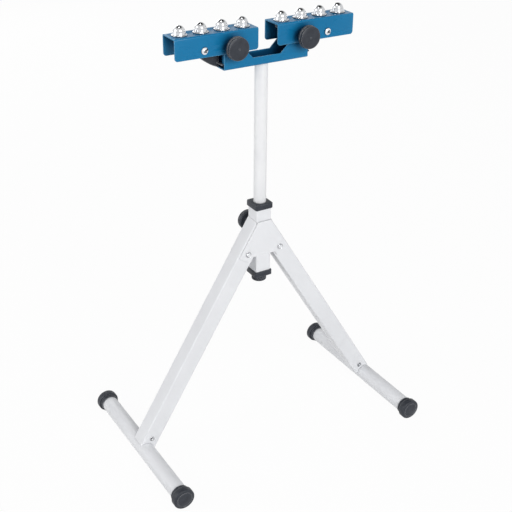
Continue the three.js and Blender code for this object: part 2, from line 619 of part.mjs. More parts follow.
// Ball units along one arm, counted from the head's middle: cup, race and ball
function buildBalls(word, side) {
  const cupBore = BALL_RADIUS + BALL_GAP;
  const cupOuter = cupBore + CUP_WALL;
  const lip = BALL_RISE + CUP_LIP_RISE;
  const lipBore = Math.sqrt(BALL_RADIUS ** 2 - CUP_LIP_RISE ** 2) + BALL_GAP;
  const flangeFoot = SEAT_GAP;
  const cupFloor = CUP_WALL - CUP_DEPTH;
  const cupProfile = [
    [CUP_DRAIN_RADIUS, -CUP_DEPTH], [cupOuter, -CUP_DEPTH], [cupOuter, flangeFoot],
    [CUP_FLANGE_RADIUS, flangeFoot], [CUP_FLANGE_RADIUS, flangeFoot + CUP_FLANGE],
    [cupOuter, flangeFoot + CUP_FLANGE + CUP_FILLET], [cupBore + CUP_LIP_WALL, BALL_RISE], [lipBore, lip],
    [cupBore, BALL_RISE - CUP_LIP_RISE],
    [cupBore, cupFloor], [CUP_DRAIN_RADIUS, cupFloor], [CUP_DRAIN_RADIUS, -CUP_DEPTH]];
  const raceRadius = BALL_RADIUS + BALL_GAP;
  const raceFoot = cupFloor + SEAT_GAP;
  const raceOuter = cupBore - SEAT_GAP;
  const groove = Array.from({ length: RACE_STEPS + 1 }, (unused, i) => {
    const rim = raceOuter - RACE_RIM;
    const radius = rim - (rim - CUP_DRAIN_RADIUS) * (i / RACE_STEPS);
    return [radius, BALL_RISE - Math.sqrt(raceRadius ** 2 - radius ** 2)];
  });
  const raceProfile = [
    [CUP_DRAIN_RADIUS, raceFoot], [raceOuter, raceFoot], [raceOuter, groove[0][1]], ...groove,
    [CUP_DRAIN_RADIUS, raceFoot]];
  ballPlaces(side).forEach((x, i) => {
    const number = i + 1;
    const cup = turnedAboutZ(cupProfile, PIN_SIDES).translate(x, 0, armTop);
    addPiece(`${word}_ball_cup_${number}`, cup, brightZinc);
    const race = turnedAboutZ(raceProfile, PIN_SIDES).translate(x, 0, armTop);
    addPiece(`${word}_ball_race_${number}`, race, brightZinc);
    const ball = new THREE.SphereGeometry(BALL_RADIUS, PIN_SIDES, BALL_RINGS).rotateX(Math.PI / 2);
    addPiece(`${word}_ball_${number}`, ball.translate(x, 0, armTop + BALL_RISE), chrome);
  });
}

buildPost();
buildPoleClamp();
buildPole();
buildBracket();
for (const [word, side] of [['left', LEFT], ['right', RIGHT]]) {
  buildLeg(word, side);
  buildArm(word, side);
  buildBalls(word, side);
}

export default stand;
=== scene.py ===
"""Looks of a folding ball-roller stand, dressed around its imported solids. Metres, +Z up."""
import json
import math

import bpy
import bmesh
from mathutils import Matrix, Vector


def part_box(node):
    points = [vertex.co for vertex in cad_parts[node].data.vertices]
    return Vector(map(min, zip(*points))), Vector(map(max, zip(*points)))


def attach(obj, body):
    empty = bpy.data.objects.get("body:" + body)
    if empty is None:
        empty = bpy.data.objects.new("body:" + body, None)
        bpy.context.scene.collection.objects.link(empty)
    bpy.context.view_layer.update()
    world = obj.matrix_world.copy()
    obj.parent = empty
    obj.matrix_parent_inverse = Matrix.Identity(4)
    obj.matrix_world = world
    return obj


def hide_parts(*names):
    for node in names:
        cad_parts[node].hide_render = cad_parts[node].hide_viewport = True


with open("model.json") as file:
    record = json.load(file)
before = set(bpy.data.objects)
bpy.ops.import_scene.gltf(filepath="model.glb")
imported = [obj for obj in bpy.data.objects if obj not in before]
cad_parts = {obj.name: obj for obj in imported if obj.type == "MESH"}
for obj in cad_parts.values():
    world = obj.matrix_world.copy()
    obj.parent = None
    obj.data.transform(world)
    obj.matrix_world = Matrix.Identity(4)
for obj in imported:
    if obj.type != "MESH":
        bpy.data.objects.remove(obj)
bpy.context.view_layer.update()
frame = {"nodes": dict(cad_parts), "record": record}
record = frame["record"]

BODY_OF = {node: body for body, nodes in record["behaviour"]["bodies"].items() for node in nodes}
SLOT_OF = {part["node"]: part["material_slot"] for part in record["subparts"]}
SIDES = (("left", -1), ("right", 1))
BALLS = (1, 2, 3, 4)
ARM_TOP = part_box("left_arm_channel")[1][2]

# Camera
CAMERA_AZIMUTH = -31.44
CAMERA_ELEVATION = 28.2
CAMERA_ROLL = 0.56
CAMERA_DISTANCE = 2.206
CAMERA_TARGET = Vector((-0.0083, 0, 0.4457))
CAMERA_LENS = 67.97
CAMERA_SENSOR = 36

# Meshing
MM = 0.001
FINE = 72
BEYOND = 0.1
FAR = 1
MERGE_DISTANCE = 1e-7
CAD_MERGE_DISTANCE = 1e-6
FLAT_ANGLE = 1
SMOOTH_ANGLE = 35
SOFTENED_ANGLE = 32
ARC_SHARE = 0.49
AXIS_TURNS = {"Z": 0, "Y": -90, "-Y": 90}

# Gap between pieces that touch
SEAT_GAP = 0.3 * MM

# Tubes
TUBE_WALL = 2 * MM
TUBE_CORNER = 3.2 * MM
TUBE_RIM = 0.4 * MM
POLE_WALL = 1.5 * MM
FOOT_RADIUS = 19 * MM
LEG_HALF_WIDTH = 20 * MM
LEG_END_SETBACK = 9 * MM
LEG_TOP_REACH = 160 * MM
LEG_RELIEF_SHARE = 0.35

# Sheet
SHEET = 2.5 * MM
SHEET_BEND = 3.4 * MM
SHEET_CORNER = 6 * MM
SHEET_EDGE = 0.45 * MM
GUSSET_EDGE = 0.7 * MM
NOTCH_HEIGHT = 17.5 * MM
NOTCH_HALF_WIDTH = 33 * MM
NOTCH_CORNER = 1.5 * MM
TAB_WIDTH = 10 * MM
TAB_LIFT = 13 * MM
TAB_HEIGHT = 24 * MM

# Fasteners, where a share is of the head's radius
SCREW_RADIUS = 4 * MM
THREAD_PITCH = 1.25 * MM
THREAD_DEPTH = 0.55 * MM
BOLT_CHAMFER = 0.8 * MM
PIN_SHANK_SHARE = 0.5
HEAD_DOME_DROP = 0.2 * MM
HEAD_GROOVE_FLOOR = 0.2 * MM
HEAD_GROOVE_CORNER = 0.2 * MM
RIVET_HEIGHT = 3.4 * MM
RIVET_DOME_SHARES = (0.6, 0.74)
RIVET_RIM_SHARES = (0.87, 0.9)
RIVET_RIM_HEIGHTS = (0.9 * MM, 0.7 * MM)
FOOT_BOLT_HEIGHT = 2.6 * MM
FOOT_BOLT_DOME_SHARES = (0.46, 0.5)
WASHER_SHARES = (0.84, 0.86)
WASHER_HEIGHT = 1 * MM
STOP_SHANK_SHARE = 0.4
STOP_HEAD_HEIGHT = 4 * MM
STOP_HEAD_SIDE = 1.6 * MM
STOP_CROWN_SHARE = 0.55
STOP_CROWN_DROP = 0.4 * MM
CROSS_DEPTH = 3.4 * MM
CROSS_HALF_LENGTH_SHARE = 0.52
CROSS_HALF_WIDTH_SHARE = 0.2
CROSS_CORNER_SHARE = 0.08
BOSS_CORNER = 1.2 * MM
INSERT_HOLE_RADIUS = 5.3 * MM

# Plastic pieces, where a share is of the widest radius and a depth is taken from the front
COLLAR_CORNER = 4.5 * MM
COLLAR_EDGE = 1.6 * MM
COLLAR_GAP = 0.4 * MM
STOP_EDGE = 0.9 * MM
PLUG_NECK_SHARE = 0.906
PLUG_DISC_HEIGHT = 7 * MM
CAP_GAP = 0.15 * MM
CAP_WALL = 2.2 * MM
CAP_GROOVE_DEPTH = 0.8 * MM
CAP_GROOVE_START = -2 * MM
CAP_GROOVE_FLOOR = -1.7 * MM
CAP_DISC_START = 0.4 * MM
CAP_DISC_EDGE = 2.4 * MM
CAP_RING_SHARES = (0.74, 0.70, 0.64)
CAP_RING_DEPTHS = (1.1 * MM, 1.7 * MM, 0.7 * MM)
CAP_CROWN_SHARE = 0.3
CAP_FLOOR = 1 * MM
KNOB_SEGMENTS = 96
KNOB_HUB_RADIUS = 11.5 * MM
KNOB_NECK_RADIUS = 13 * MM
KNOB_NECK_LENGTH = 1.5 * MM
KNOB_BACK_INSET = 1.6 * MM
KNOB_BACK_SLOPE = 2 * MM
KNOB_HEAD_DEPTH = 15 * MM
KNOB_GROOVE_START = 8.6 * MM
KNOB_GROOVE_END = 7 * MM
KNOB_GROOVE_DEPTH = 1.5 * MM
KNOB_GROOVE_SLOPE = 0.3 * MM
KNOB_BRIM_INSET = 0.5 * MM
KNOB_BRIM_DRAFT = 0.3 * MM
KNOB_FACE_DEPTH = 1.2 * MM
KNOB_FACE_EDGE = 1 * MM
KNOB_FACE_INSET = 4 * MM
KNOB_PIP_RADII = (2.2 * MM, 1.5 * MM)
KNOB_PIP_FOOT = 0.5 * MM
KNOB_PIP_DROP = 0.2 * MM
KNOB_SOCKET_LENGTH = 18 * MM

# Ball units
BALL_STEPS = 36
BALL_GAP = 0.3 * MM
CUP_WALL = 1.1 * MM
CUP_FLOOR_WIDTH = 2 * MM
CUP_HOLE_GAP = 1.7 * MM
FLANGE_THICKNESS = 1.6 * MM
FLANGE_RISE = 0.3 * MM
LIP_GAP = 0.2 * MM
LIP_OUTSIDE = 0.5 * MM
LIP_HEIGHT = 0.8 * MM
LIP_DEPTH = 1.6 * MM

# Colours
COAT = (0.775, 0.785, 0.81)
COAT_CLOUD = (0.815, 0.825, 0.85)
COAT_SCUFF = (0.55, 0.56, 0.59)
# Painted shade in the seams, then a painted highlight on the edges
COAT_SEAM_SHADE = (0.42, 0.43, 0.45)
COAT_EDGE_HIGHLIGHT = (0.92, 0.925, 0.935)
BLUE = (0.003, 0.158, 0.345)
BLUE_CLOUD = (0.005, 0.178, 0.380)
# Painted shade in the folds, then a painted highlight on the edges
BLUE_FOLD_SHADE = (0.004, 0.030, 0.085)
BLUE_EDGE_HIGHLIGHT = (0.16, 0.44, 0.64)
BLACK = (0.023, 0.027, 0.036)
BLACK_PATCH = (0.036, 0.041, 0.053)
# Painted highlight on the rims
BLACK_RIM_HIGHLIGHT = (0.26, 0.265, 0.28)
POLE_GREY = (0.84, 0.845, 0.855)
POLE_TINT = (0.80, 0.805, 0.82)
ZINC = (0.80, 0.81, 0.83)
ZINC_TINT = (0.74, 0.76, 0.79)
CUP_ZINC = (0.66, 0.67, 0.69)
CUP_TINT = (0.61, 0.63, 0.66)
CHROME = (0.62, 0.63, 0.64)
CHROME_TINT = (0.58, 0.59, 0.61)
# Painted shade in tight corners, then painted shade below the top of an arm's channel
METAL_RECESS_SHADE = (0.05, 0.05, 0.055)
CHANNEL_SHADE = (0.004, 0.02, 0.04)

# Open shares deep inside a recess and on a clear face, across which the painted shade fades
RECESS_SHADE_SPAN = (0.3, 0.8)
FOLD_SHADE_SPAN = (0.4, 0.85)
SCREW_SHADE_SPAN = (0.55, 0.95)
CUP_SHADE_SPAN = (0.45, 0.92)

# Roughness where the noise of a finish is low and where it is high
COAT_ROUGHNESS = (0.34, 0.5)
BLUE_ROUGHNESS = (0.24, 0.38)
BLACK_ROUGHNESS = (0.5, 0.32)
POLE_ROUGHNESS = (0.32, 0.44)
ZINC_ROUGHNESS = (0.14, 0.2)
CHROME_ROUGHNESS = (0.03, 0.08)

# Light
FLOOR_SIZE = 40
FLOOR_DROP = 0.5 * MM
FLOOR_GREY = (0.82, 0.82, 0.82)
FLOOR_GLOW = 0.96
WORLD_FOR_LIGHT = 0.5
WORLD_FOR_VIEW = 1.0
DARK_CEILING = Vector((0.15, 0.24, 0.96)).normalized()
CEILING_FADE = (0.62, 0.93)
CEILING_TONE = 0.05
LAMP_SIZE = 2.0
TOP_LAMP_SIZE = 0.2
LAMPS = (("key", (-0.2, -4.2, 2.4), LAMP_SIZE, 109), ("fill", (-2.9, 0.8, 1.4), LAMP_SIZE, 32),
         ("back", (0.3, 4.2, 1.9), LAMP_SIZE, 38), ("top", (-0.15, 0, 1.95), TOP_LAMP_SIZE, 2.0))
LAMP_AIM = Vector((0, 0, 0.55))


def set_camera():
    """The photograph's view."""
    azimuth, elevation, roll = (math.radians(v) for v in (CAMERA_AZIMUTH, CAMERA_ELEVATION, CAMERA_ROLL))
    back = Vector((math.sin(azimuth) * math.cos(elevation), -math.cos(azimuth) * math.cos(elevation),
                   math.sin(elevation)))
    level = Vector((math.cos(azimuth), math.sin(azimuth), 0))
    rise = back.cross(level)
    right = level * math.cos(roll) + rise * math.sin(roll)
    up = back.cross(right)
    data = bpy.data.cameras.new("camera")
    data.lens = CAMERA_LENS
    data.sensor_width = CAMERA_SENSOR
    camera = bpy.data.objects.new("camera", data)
    turn = Matrix((right, up, back)).transposed().to_4x4()
    camera.matrix_world = Matrix.Translation(CAMERA_TARGET + back * CAMERA_DISTANCE) @ turn
    bpy.context.scene.collection.objects.link(camera)
    bpy.context.scene.camera = camera


# Shader helpers
def new_material(name):
    material = bpy.data.materials.new(name)
    material.use_nodes = True
    tree = material.node_tree
    return material, tree, tree.nodes["Principled BSDF"]


def noise(tree, scale, detail, stretch=(1, 1, 1)):
    """Noise over the piece's own metres, stretched along its axes."""
    place = tree.nodes.new("ShaderNodeTexCoord")
    mapping = tree.nodes.new("ShaderNodeMapping")
    mapping.inputs["Scale"].default_value = stretch
    texture = tree.nodes.new("ShaderNodeTexNoise")
    texture.inputs["Scale"].default_value = scale
    texture.inputs["Detail"].default_value = detail
    tree.links.new(place.outputs["Object"], mapping.inputs["Vector"])
    tree.links.new(mapping.outputs["Vector"], texture.inputs["Vector"])
    return texture.outputs["Fac"]


def ramp(tree, value, stops, tones):
    """A ramp from one grey to another between two stops."""
    made = tree.nodes.new("ShaderNodeValToRGB")
    for element, stop, tone in zip(made.color_ramp.elements, stops, tones):
        element.position = stop
        element.color = (tone, tone, tone, 1)
    tree.links.new(value, made.inputs["Fac"])
    return made.outputs["Color"]


def blend(tree, mask, first, second):
    """Second over first where the mask is 1. Each is a colour or another node's output."""
    made = tree.nodes.new("ShaderNodeMix")
    made.data_type = "RGBA"
    # The factor and the two colours of the node's colour mode
    factor, under, over = (made.inputs[i] for i in (0, 6, 7))
    tree.links.new(mask, factor)
    for socket, item in ((under, first), (over, second)):
        if isinstance(item, tuple):
            socket.default_value = (*item, 1)
        else:
            tree.links.new(item, socket)
    return made.outputs[2]


def combine(tree, operation, first, second):
    """Math on two outputs, or on an output and a number."""
    made = tree.nodes.new("ShaderNodeMath")
    made.operation = operation
    for socket, item in zip(made.inputs, (first, second)):
        if isinstance(item, float):
            socket.default_value = item
        else:
            tree.links.new(item, socket)
    return made.outputs[0]


def bump(tree, shader, height, strength, distance):
    made = tree.nodes.new("ShaderNodeBump")
    made.inputs["Strength"].default_value = strength
    made.inputs["Distance"].default_value = distance
    tree.links.new(height, made.inputs["Height"])
    tree.links.new(made.outputs["Normal"], shader.inputs["Normal"])


def edges(tree, radius, patch_scale):
    """A patchy mask of the sharp edges, where the rounded normal leaves the true one, for painted edge
    highlights.
    """
    bevel = tree.nodes.new("ShaderNodeBevel")
    bevel.inputs["Radius"].default_value = radius
    true = tree.nodes.new("ShaderNodeNewGeometry")
    dot = tree.nodes.new("ShaderNodeVectorMath")
    dot.operation = "DOT_PRODUCT"
    tree.links.new(bevel.outputs["Normal"], dot.inputs[0])
    tree.links.new(true.outputs["True Normal"], dot.inputs[1])
    sharp = ramp(tree, dot.outputs["Value"], (0.86, 0.985), (1.0, 0.0))
    patches = ramp(tree, noise(tree, patch_scale, detail=4), (0.3, 0.6), (0.35, 1.0))
    return combine(tree, "MULTIPLY", sharp, patches)


def recess_shade_mask(tree, reach, span=RECESS_SHADE_SPAN):
    """A mask for painted shade that grows from a clear face to deep inside a recess."""
    open_share = tree.nodes.new("ShaderNodeAmbientOcclusion")
    open_share.inputs["Distance"].default_value = reach
    return ramp(tree, open_share.outputs["AO"], span, (0.85, 0.0))


def below(tree, height):
    """A mask for painted shade that is nearly 1 on the part of a piece that lies below a height."""
    place = tree.nodes.new("ShaderNodeTexCoord")
    split = tree.nodes.new("ShaderNodeSeparateXYZ")
    tree.links.new(place.outputs["Object"], split.inputs[0])
    return ramp(tree, split.outputs["Z"], (height - 1 * MM, height), (0.92, 0.0))


def clouds(tree, scale, detail):
    """A soft mask of patches."""
    return ramp(tree, noise(tree, scale, detail), (0.35, 0.7), (0.0, 1.0))


# Materials
def powder_coat():
    """Pale grey powder coat: orange peel, faint clouds, painted highlights on the edges, grey scuffs and
    painted shade in the seams.
    """
    material, tree, shader = new_material("powder_coat")
    clean = blend(tree, clouds(tree, scale=8, detail=4), COAT, COAT_CLOUD)
    scratch = noise(tree, scale=60, detail=6, stretch=(1, 1, 0.12))
    scuffed = blend(tree, ramp(tree, scratch, (0.66, 0.78), (0.0, 0.22)), clean, COAT_SCUFF)
    # Painted shade in seams and recesses, from ambient occlusion
    seam_shaded = blend(tree, recess_shade_mask(tree, reach=5 * MM), scuffed, COAT_SEAM_SHADE)
    # Painted highlight along the sharp edges
    tone = blend(tree, edges(tree, radius=2 * MM, patch_scale=90), seam_shaded, COAT_EDGE_HIGHLIGHT)
    tree.links.new(tone, shader.inputs["Base Color"])
    rub = noise(tree, scale=40, detail=5, stretch=(1, 1, 0.35))
    tree.links.new(ramp(tree, rub, (0.3, 0.75), COAT_ROUGHNESS), shader.inputs["Roughness"])
    bump(tree, shader, noise(tree, scale=620, detail=2), strength=0.1, distance=0.4 * MM)
    shader.inputs["Specular IOR Level"].default_value = 0.3
    return material


def blue_paint():
    """Blue paint on folded sheet: fine peel, faint clouds, painted shade in the folds and thin painted
    highlights on the edges.
    """
    material, tree, shader = new_material("blue_paint")
    coat = blend(tree, clouds(tree, scale=14, detail=4), BLUE, BLUE_CLOUD)
    # Painted shade deep in the folds and inside the channels, from ambient occlusion
    deep = blend(tree, recess_shade_mask(tree, reach=55 * MM, span=FOLD_SHADE_SPAN), coat, BLUE_FOLD_SHADE)
    # Painted highlight along the sharp edges
    tone = blend(tree, edges(tree, radius=1.3 * MM, patch_scale=120), deep, BLUE_EDGE_HIGHLIGHT)
    tree.links.new(tone, shader.inputs["Base Color"])
    rub = noise(tree, scale=55, detail=5, stretch=(0.3, 1, 1))
    tree.links.new(ramp(tree, rub, (0.3, 0.75), BLUE_ROUGHNESS), shader.inputs["Roughness"])
    bump(tree, shader, noise(tree, scale=700, detail=2), strength=0.08, distance=0.4 * MM)
    shader.inputs["Specular IOR Level"].default_value = 0.22
    return material


def black_plastic():
    """Moulded black plastic: eroded grain, softly polished patches and painted highlights on the rims."""
    material, tree, shader = new_material("black_plastic")
    patch = noise(tree, scale=70, detail=4)
    mass = blend(tree, ramp(tree, patch, (0.35, 0.75), (0.0, 1.0)), BLACK, BLACK_PATCH)
    # Painted highlight on the rims
    tone = blend(tree, edges(tree, radius=2.2 * MM, patch_scale=200), mass, BLACK_RIM_HIGHLIGHT)
    tree.links.new(tone, shader.inputs["Base Color"])
    tree.links.new(ramp(tree, patch, (0.3, 0.7), BLACK_ROUGHNESS), shader.inputs["Roughness"])
    bump(tree, shader, noise(tree, scale=1600, detail=2), strength=0.2, distance=0.3 * MM)
    shader.inputs["Specular IOR Level"].default_value = 0.3
    return material


def plated(name, colour, tint, roughness, metallic=1.0, stretch=(1, 1, 1), scale=400, span=RECESS_SHADE_SPAN,
           inside=None):
    """Plated steel: fine grain or drawn lines, slight passivation colour and painted shade in tight
    corners.

    Where a height is given as inside, painted shade darkens what lies below it, as the shade inside a
    channel.
    """
    material, tree, shader = new_material(name)
    shader.inputs["Metallic"].default_value = metallic
    shader.inputs["Specular IOR Level"].default_value = 0.05
    clean = blend(tree, clouds(tree, scale=26, detail=3), colour, tint)
    # Painted shade in tight corners, from ambient occlusion
    tone = blend(tree, recess_shade_mask(tree, reach=4 * MM, span=span), clean, METAL_RECESS_SHADE)
    if inside:
        # Painted shade below the given height, for the inside of a channel
        tone = blend(tree, below(tree, inside), tone, CHANNEL_SHADE)
    tree.links.new(tone, shader.inputs["Base Color"])
    lines = noise(tree, scale, detail=3, stretch=stretch)
    tree.links.new(ramp(tree, lines, (0.3, 0.7), roughness), shader.inputs["Roughness"])
    bump(tree, shader, lines, strength=0.02, distance=0.2 * MM)
    return material


MATERIALS = {
    "powder_coat": powder_coat(),
    "blue_paint": blue_paint(),
    "black_plastic": black_plastic(),
    "pole_finish": plated("pole_finish", POLE_GREY, POLE_TINT, POLE_ROUGHNESS, metallic=0.08,
                          stretch=(1, 1, 0.02), scale=700),
    "bright_zinc": plated("bright_zinc", ZINC, ZINC_TINT, ZINC_ROUGHNESS),
    # The screw finish is bright zinc with painted shade reaching further out of its recesses; the cup
    # finish is a darker zinc with such painted shade and painted shade below the arm's top
    "screw_zinc_shaded": plated("screw_zinc_shaded", ZINC, ZINC_TINT, ZINC_ROUGHNESS, span=SCREW_SHADE_SPAN),
    "cup_zinc_shaded": plated("cup_zinc_shaded", CUP_ZINC, CUP_TINT, ZINC_ROUGHNESS, span=CUP_SHADE_SPAN, inside=ARM_TOP),
    "chrome_ball": plated("chrome_ball", CHROME, CHROME_TINT, CHROME_ROUGHNESS, scale=300),
}


# Mesh helpers
def from_bmesh(name, bm):
    bmesh.ops.remove_doubles(bm, verts=bm.verts, dist=MERGE_DISTANCE)
    bmesh.ops.recalc_face_normals(bm, faces=bm.faces)
    mesh = bpy.data.meshes.new(name)
    bm.to_mesh(mesh)
    bm.free()
    piece = bpy.data.objects.new(name, mesh)
    bpy.context.scene.collection.objects.link(piece)
    return piece


def from_cad(name, node):
    """A copy of a CAD node's mesh with its flat faces whole again."""
    bm = bmesh.new()
    bm.from_mesh(frame["nodes"][node].data)
    bmesh.ops.remove_doubles(bm, verts=bm.verts, dist=CAD_MERGE_DISTANCE)
    bmesh.ops.dissolve_limit(bm, angle_limit=math.radians(FLAT_ANGLE), verts=bm.verts, edges=bm.edges)
    return from_bmesh(name, bm)


def shade(piece, angle=SMOOTH_ANGLE):
    piece.data.polygons.foreach_set("use_smooth", [True] * len(piece.data.polygons))
    piece.data.set_sharp_from_angle(angle=math.radians(angle))
    piece.data.update()
    return piece


def rounded(corners, steps=6, loop=True):
    """An outline whose corners (first, second, radius) become arcs.

    A corner without a radius stays sharp, and so do the ends of an outline that is no loop.
    """
    points = []
    count = len(corners)
    for i, corner in enumerate(corners):
        here = Vector(corner[:2])
        if len(corner) < 3 or corner[2] <= 0 or (not loop and i in (0, count - 1)):
            points.append(here)
            continue
        before = Vector(corners[i - 1][:2]) - here
        after = Vector(corners[(i + 1) % count][:2]) - here
        half = before.angle(after) / 2
        reach = min(corner[2] / math.tan(half), ARC_SHARE * before.length, ARC_SHARE * after.length)
        centre = here + (before.normalized() + after.normalized()).normalized() * (reach / math.cos(half))
        start = here + before.normalized() * reach - centre
        sweep = start.angle_signed(here + after.normalized() * reach - centre)
        points += [centre + Matrix.Rotation(-sweep * k / steps, 2) @ start for k in range(steps + 1)]
    return points


def open_outline(corners, steps):
    """An outline from end to end, for a profile of (radius, height, rounding) corners."""
    return rounded(corners, steps, loop=False)


def revolve(name, profile, at=(0, 0, 0), axis="Z", segments=FINE, angle=SMOOTH_ANGLE):
    """Turns (radius, height) points about an axis through at. The profile is closed or ends on the axis."""
    bm = bmesh.new()
    rings = []
    for radius, height in profile:
        if radius < MERGE_DISTANCE:
            rings.append([bm.verts.new((0, 0, height))])
            continue
        turns = (2 * math.pi * k / segments for k in range(segments))
        rings.append([bm.verts.new((radius * math.cos(t), radius * math.sin(t), height)) for t in turns])
    for low, high in zip(rings, rings[1:]):
        for k in range(segments):
            n = (k + 1) % segments
            corners = [low[k % len(low)], low[n % len(low)], high[n % len(high)], high[k % len(high)]]
            unique = list(dict.fromkeys(corners))
            if len(unique) > 2:
                bm.faces.new(unique)
    turn = Matrix.Rotation(math.radians(AXIS_TURNS[axis]), 4, "X")
    bmesh.ops.transform(bm, matrix=Matrix.Translation(at) @ turn, verts=bm.verts)
    return shade(from_bmesh(name, bm), angle)


def ring(name, outline, at=(0, 0, 0), axis="Z"):
    """Turns an outline that stays clear of the axis."""
    return revolve(name, [*outline, outline[0]], at, axis)


def prism(name, outline, low, high, across="Y"):
    """Runs an outline along an axis. The outline is (x, z) across Y, (y, z) across X, (x, y) across Z."""
    place = {"Y": lambda p, t: (p[0], t, p[1]), "X": lambda p, t: (t, p[0], p[1]),
             "Z": lambda p, t: (p[0], p[1], t)}[across]
    bm = bmesh.new()
    ends = [[bm.verts.new(place(point, t)) for point in outline] for t in (low, high)]
    for end in ends:
        bm.faces.new(end)
    count = len(outline)
    for k in range(count):
        n = (k + 1) % count
        bm.faces.new((ends[0][k], ends[0][n], ends[1][n], ends[1][k]))
    return from_bmesh(name, bm)


def carve(piece, *tools, operation="DIFFERENCE"):
    """Cuts tools out of a piece, keeps what they share or joins them to it, and removes the tools."""
    for tool in tools:
        change = piece.modifiers.new("cut", "BOOLEAN")
        change.object = tool
        change.operation = operation
        change.solver = "EXACT"
        apply_modifiers(piece)
        bpy.data.objects.remove(tool)
    return piece


def soften(piece, width, segments=2, limit=40):
    """Rounds the sharp edges of a piece."""
    bevel = piece.modifiers.new("edges", "BEVEL")
    bevel.width = width
    bevel.segments = segments
    bevel.limit_method = "ANGLE"
    bevel.angle_limit = math.radians(limit)
    apply_modifiers(piece)
    return shade(piece, SOFTENED_ANGLE)


def apply_modifiers(piece):
    depsgraph = bpy.context.evaluated_depsgraph_get()
    mesh = bpy.data.meshes.new_from_object(piece.evaluated_get(depsgraph))
    piece.modifiers.clear()
    piece.data = mesh


def dress(piece, node, finish=None):
    """Puts a piece in place of a CAD node, on its body and with its slot's finish or another one."""
    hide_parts(node)
    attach(piece, BODY_OF[node])
    slot = SLOT_OF[node]
    piece.data.materials.clear()
    piece.data.materials.append(MATERIALS[finish or slot])


def middle(node):
    low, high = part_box(node)
    return [(a + b) / 2 for a, b in zip(low, high)]


def half_width(node):
    low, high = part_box(node)
    return (high[0] - low[0]) / 2


def rectangle(half_x, half_y, radius):
    """An outline with rounded corners."""
    return rounded([(-half_x, -half_y, radius), (half_x, -half_y, radius), (half_x, half_y, radius),
                    (-half_x, half_y, radius)])


def hexagon(radius, x=0.0, z=0.0):
    turns = [math.pi / 3 * k for k in range(6)]
    return [(x + radius * math.cos(t), z + radius * math.sin(t)) for t in turns]


def rod(name, radius, low, high, at, axis="Y"):
    return revolve(name, [(0, low), (radius, low), (radius, high), (0, high)], at, axis)


def both_ends(name, head, x, z):
    """A pin along Y whose head profile, from its crown to its shank, is mirrored on the other end."""
    return revolve(name, [*head, *[(r, -y) for r, y in reversed(head)]], (x, 0, z), "Y")


def round_tube(name, radius, bore, low, high, at=(0, 0, 0), axis="Z"):
    """A round tube with softened outer rims."""
    wall = open_outline([
        (bore, low), (radius, low, TUBE_RIM), (radius, high, TUBE_RIM), (bore, high)], steps=3)
    return ring(name, wall, at, axis)


def drill(piece, node, radius):
    """Cuts the hole along Y through which a fastener passes."""
    x, _, z = middle(node)
    return carve(piece, rod("hole", radius + SEAT_GAP, -BEYOND, BEYOND, (x, 0, z)))


# Post
def box_tube(name, half_x, half_y, low_z, high_z):
    outer = prism(name, rectangle(half_x, half_y, TUBE_CORNER), low_z, high_z, "Z")
    inner = rectangle(half_x - TUBE_WALL, half_y - TUBE_WALL, TUBE_CORNER - TUBE_WALL)
    return carve(outer, prism("bore", inner, low_z - BEYOND, high_z + BEYOND, "Z"))


def make_post():
    low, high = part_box("post_tube")
    post = box_tube("post", high[0], high[1], low[2], high[2])
    x, _, z = middle("clamp_boss")
    carve(post, rod("hole", SCREW_RADIUS + SEAT_GAP, 0, BEYOND, (x, 0, z)))
    dress(shade(post), "post_tube")
    make_collar("post_top_collar", "top_collar", high[2] + SEAT_GAP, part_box("post_top_collar")[1][2])
    make_collar("post_bottom_cap", "bottom_cap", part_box("post_bottom_cap")[0][2], low[2] - SEAT_GAP)
    for place in ("front", "rear"):
        node = f"{place}_gusset_plate"
        dress(soften(from_cad(f"{place}_gusset", node), GUSSET_EDGE, segments=3, limit=30), node)
    for word, _ in SIDES:
        make_rivet(f"{word}_leg_pivot_pin", f"{word}_leg_pin")


def make_collar(node, name, foot, crown):
    """A plastic end piece: a rounded square flange round the pole."""
    half = half_width(node)
    block = prism(name, rectangle(half, half, COLLAR_CORNER), foot, crown, "Z")
    flange = soften(block, COLLAR_EDGE, segments=4)
    bore = rod("bore", half_width("pole_tube") + COLLAR_GAP, foot - BEYOND, crown + BEYOND, (0, 0, 0), "Z")
    dress(shade(carve(flange, bore)), node)


def make_rivet(node, name):
    """A pivot pin with a low crowned head, a groove and a raised rim at each plate."""
    x, _, z = middle(node)
    radius = half_width(node)
    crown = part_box(node)[1][1]
    face = crown - RIVET_HEIGHT
    groove = face + HEAD_GROOVE_FLOOR
    dome, dome_foot = (share * radius for share in RIVET_DOME_SHARES)
    rim_foot, rim = (share * radius for share in RIVET_RIM_SHARES)
    rim_inside, rim_outside = (face + height for height in RIVET_RIM_HEIGHTS)
    head = open_outline([
        (0, crown), (dome, crown - HEAD_DOME_DROP, 0.6 * MM), (dome_foot, groove, HEAD_GROOVE_CORNER),
        (rim_foot, groove, HEAD_GROOVE_CORNER), (rim, rim_inside, 0.3 * MM),
        (radius, rim_outside, 0.3 * MM), (radius, face), (PIN_SHANK_SHARE * radius, face)], steps=5)
    dress(both_ends(name, head, x, z), node)


